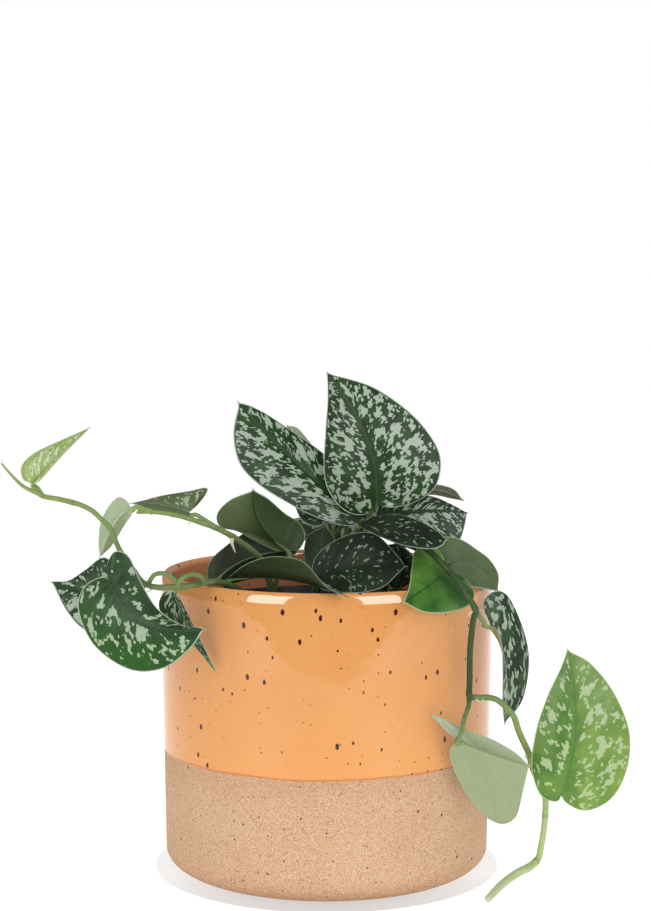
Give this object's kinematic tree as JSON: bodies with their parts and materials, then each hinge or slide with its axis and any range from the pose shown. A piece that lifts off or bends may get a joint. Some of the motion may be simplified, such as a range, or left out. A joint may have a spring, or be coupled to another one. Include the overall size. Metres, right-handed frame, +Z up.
{
  "type": "potted scindapsus",
  "caption": "Trailing scindapsus with silver-marked heart-shaped leaves in a grower's pot, standing in a round glazed stoneware pot with a bare clay base.",
  "frame": {"origin": "centre of the outer pot's foot, on the surface it stands on", "axes": "+Z up along the pot's axis, -Y towards the viewer of the picture, +X to the viewer's right"},
  "size_m": [0.2496, 0.1562, 0.2086],
  "materials": {
    "glazed_stoneware": "gloss",
    "black_plastic": "satin",
    "potting_mix": "matte",
    "stem_green": "satin",
    "leaf_dark_green": "satin",
    "leaf_mid_green": "satin",
    "leaf_fresh_green": "satin",
    "leaf_pale_green": "satin"
  },
  "bodies": {
    "root": {"cachepot": "glazed_stoneware", "nursery_pot": "black_plastic", "potting_soil": "potting_mix", "vine_crown_right": "stem_green", "vine_crown_left": "stem_green", "vine_left_high": "stem_green", "vine_left_low": "stem_green", "vine_right": "stem_green", "leaf_crown_tall": "leaf_dark_green", "leaf_crown_left": "leaf_dark_green", "leaf_crown_under": "leaf_dark_green", "leaf_crown_right": "leaf_dark_green", "leaf_crown_near": "leaf_dark_green", "leaf_crown_small": "leaf_mid_green", "leaf_crown_hidden": "leaf_pale_green", "leaf_left_raised": "leaf_mid_green", "leaf_left_dark": "leaf_dark_green", "leaf_front_long": "leaf_dark_green", "leaf_front_dark": "leaf_dark_green", "leaf_centre_green": "leaf_mid_green", "leaf_rim_right": "leaf_fresh_green", "leaf_right_back": "leaf_mid_green", "leaf_right_hanging": "leaf_dark_green", "leaf_right_pale": "leaf_pale_green", "leaf_right_large": "leaf_fresh_green", "leaf_left_large": "leaf_mid_green", "leaf_left_pointed": "leaf_dark_green", "leaf_left_pale": "leaf_pale_green", "leaf_left_folded": "leaf_dark_green", "leaf_tip_young": "leaf_fresh_green", "leaf_left_narrow": "leaf_dark_green", "leaf_centre_dark": "leaf_dark_green", "leaf_back_left": "leaf_dark_green", "leaf_back_right": "leaf_dark_green", "leaf_back_low": "leaf_dark_green"}
  },
  "joints": []
}
